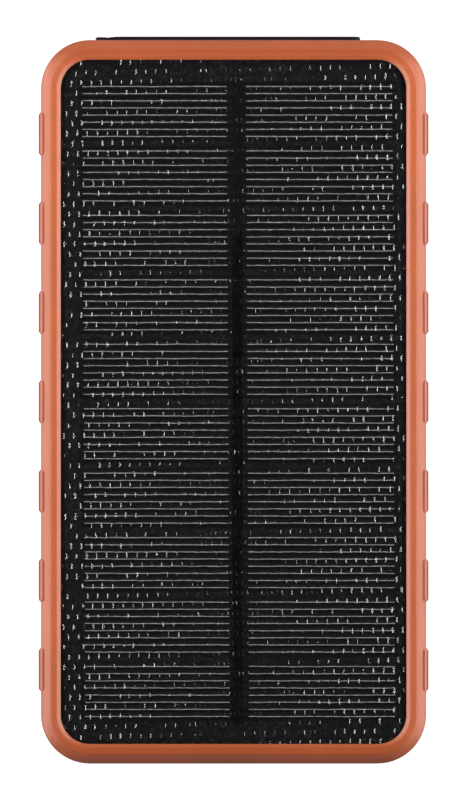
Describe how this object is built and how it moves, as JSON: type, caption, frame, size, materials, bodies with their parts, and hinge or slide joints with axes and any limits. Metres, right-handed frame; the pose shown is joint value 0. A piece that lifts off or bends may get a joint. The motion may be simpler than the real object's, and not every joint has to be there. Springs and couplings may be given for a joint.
{
  "type": "solar phone charger",
  "caption": "Flat rugged battery pack with a solar panel on its face, a ribbed rubber bumper, a hinged port cover, a side button and a torch in the back.",
  "frame": {"origin": "middle of the box's underside: the plane of the bumper's back rim, under the centre of the object", "axes": "+X to the right of the panel seen from the front, +Y towards the end with the ports, +Z out of the solar panel"},
  "size_m": [0.083, 0.1548, 0.02],
  "materials": {
    "bumper_rubber": "satin",
    "shell_plastic": "fine texture",
    "cover_rubber": "matt",
    "button_plastic": "fine texture",
    "clear_plastic": "clear",
    "led_plastic": "gloss",
    "reflector_plating": "bright",
    "screw_steel": "black zinc",
    "socket_steel": "satin",
    "socket_plastic": "satin",
    "tongue_plastic": "satin",
    "circuit_board": "solder mask",
    "chip_plastic": "matt",
    "ferrite": "matt",
    "capacitor_can": "bright",
    "battery_foil": "satin",
    "foam_tape": "open cell",
    "wire_red": "satin",
    "wire_black": "satin",
    "panel_laminate": "satin",
    "solar_silicon": "anti-reflective",
    "ribbon_coating": "matt",
    "panel_film": "dimpled"
  },
  "bodies": {
    "case": {"bumper": "bumper_rubber", "front_shell": "shell_plastic", "rear_shell": "shell_plastic", "port_cover_anchor": "cover_rubber", "port_cover_web": "cover_rubber", "light_guide": "clear_plastic", "torch_lens": "clear_plastic", "indicator_led_1": "led_plastic", "indicator_led_2": "led_plastic", "indicator_led_3": "led_plastic", "indicator_led_4": "led_plastic", "indicator_led_5": "led_plastic", "torch_led_1": "led_plastic", "torch_led_2": "led_plastic", "torch_reflector": "reflector_plating", "case_screw_1": "screw_steel", "case_screw_2": "screw_steel", "case_screw_3": "screw_steel", "case_screw_4": "screw_steel", "board_screw_1": "screw_steel", "board_screw_2": "screw_steel", "usb_a_shell_left": "socket_steel", "usb_a_shell_right": "socket_steel", "usb_c_shell": "socket_steel", "switch_body": "socket_steel", "usb_a_tongue_left": "socket_plastic", "usb_a_tongue_right": "socket_plastic", "usb_c_tongue": "tongue_plastic", "main_board": "circuit_board", "protection_board": "circuit_board", "boost_ic": "chip_plastic", "control_ic": "chip_plastic", "inductor": "ferrite", "capacitor_1": "capacitor_can", "capacitor_2": "capacitor_can", "battery_pouch_lower": "battery_foil", "battery_pouch_upper": "battery_foil", "battery_pad": "foam_tape", "panel_adhesive": "foam_tape", "battery_lead_red": "wire_red", "solar_lead_red": "wire_red", "battery_lead_black": "wire_black", "solar_lead_black": "wire_black", "panel_board": "panel_laminate", "solar_cell_01": "solar_silicon", "solar_cell_02": "solar_silicon", "solar_cell_03": "solar_silicon", "solar_cell_04": "solar_silicon", "solar_cell_05": "solar_silicon", "solar_cell_06": "solar_silicon", "solar_cell_07": "solar_silicon", "solar_cell_08": "solar_silicon", "solar_cell_09": "solar_silicon", "solar_cell_10": "solar_silicon", "busbar_ribbon": "ribbon_coating", "panel_film": "panel_film"},
    "port_cover": {"port_cover": "cover_rubber"},
    "power_button": {"power_button": "button_plastic", "switch_plunger": "socket_plastic"}
  },
  "joints": [
    {"name": "port_cover_hinge", "type": "hinge", "parent": "case", "child": "port_cover", "pos_m": [-0.0268, 0.07695, 0.01], "axis": [0, 0, 1], "range_deg": [0, 120], "deforming": ["port_cover_web"]},
    {"name": "power_button_press", "type": "slide", "parent": "case", "child": "power_button", "axis": [-1, 0, 0], "range_m": [0, 0.0004], "stiffness_N_per_m": 4000}
  ]
}
